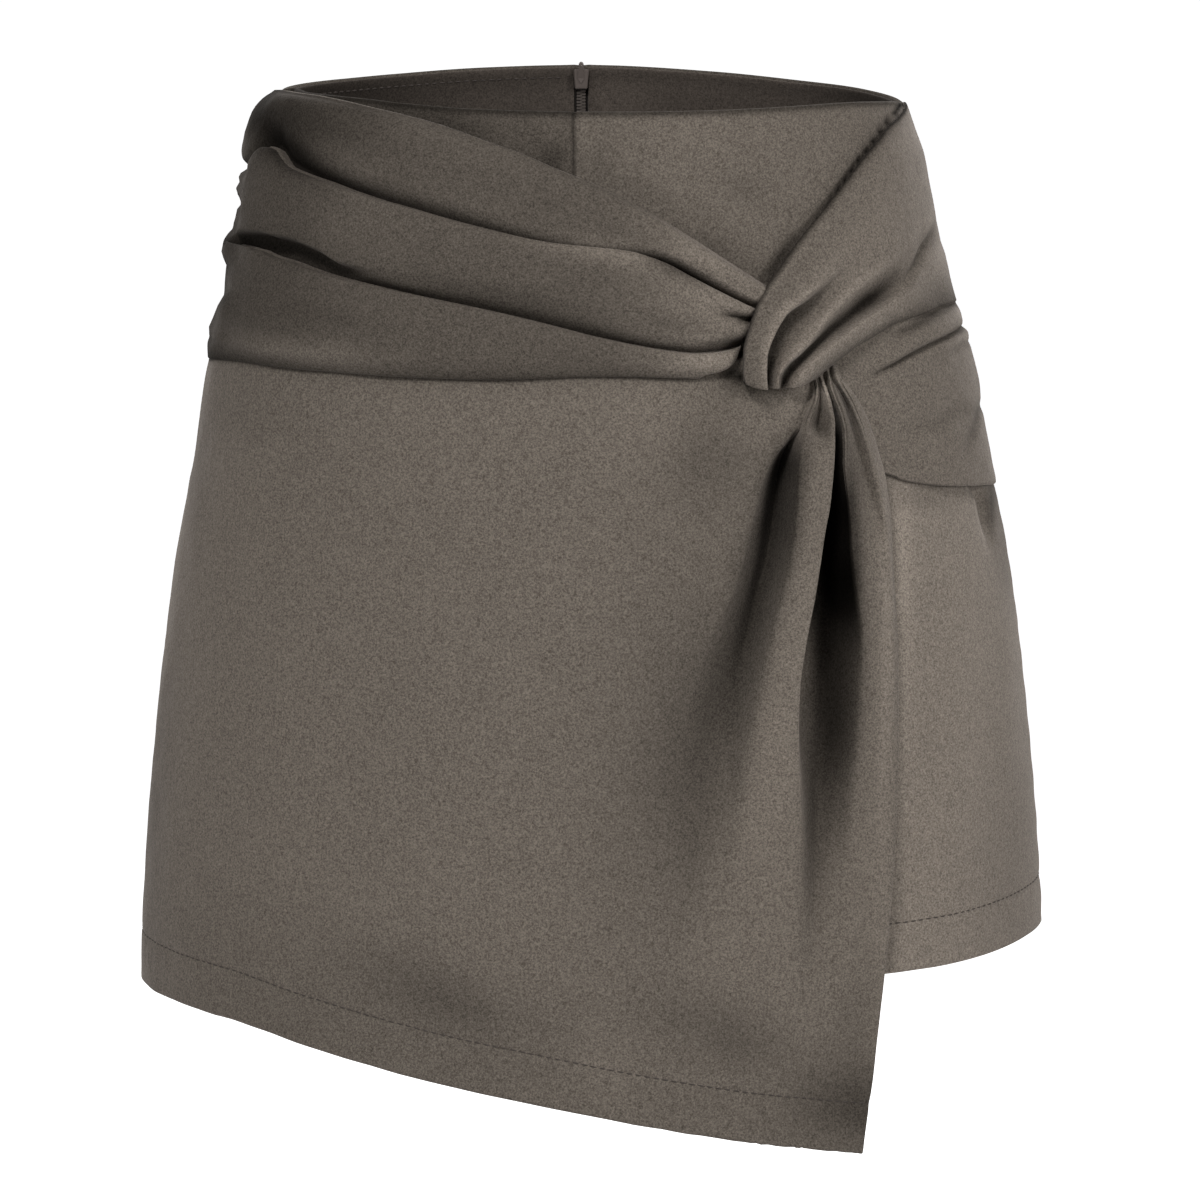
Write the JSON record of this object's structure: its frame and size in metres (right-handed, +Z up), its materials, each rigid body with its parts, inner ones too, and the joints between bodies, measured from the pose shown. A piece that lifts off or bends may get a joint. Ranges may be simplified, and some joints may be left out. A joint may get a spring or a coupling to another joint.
{
  "type": "skort",
  "caption": "Skort shaped as worn: shorts under a slanted overlay panel, with a pleated wrap band that runs to a twisted side knot and a centre-back zip.",
  "frame": {"origin": "middle of the waist opening, at the height of the waist edge", "axes": "+Z up along the garment, from the hem to the waist; the front faces -Y, and +X is on the viewer's right when facing the front, the side with the knot"},
  "size_m": [0.378, 0.2553, 0.4311],
  "materials": {
    "suede_cloth": "brushed suede cloth, matte, fine short nap",
    "zip_tape": "knitted zip tape",
    "zip_coil": "moulded coil",
    "zip_metal": "lacquered to match the cloth"
  },
  "bodies": {
    "garment": {"shorts_front_left": "suede_cloth", "shorts_front_right": "suede_cloth", "shorts_back_left": "suede_cloth", "shorts_back_right": "suede_cloth", "wrap_band": "suede_cloth", "overlay_panel": "suede_cloth", "sash_upper": "suede_cloth", "sash_lower": "suede_cloth", "facing_back_left": "suede_cloth", "facing_back_right": "suede_cloth", "zip_tape_left": "zip_tape", "zip_tape_right": "zip_tape", "zip_coil_left": "zip_coil", "zip_coil_right": "zip_coil", "zip_slider": "zip_metal"},
    "pull_tab": {"zip_pull": "zip_metal"}
  },
  "joints": [
    {"name": "zip_pull_swing", "type": "hinge", "parent": "garment", "child": "pull_tab", "pos_m": [-0.0042, 0.09449, -0.0012], "axis": [1, 0, 0], "range_deg": [0, 150]}
  ]
}
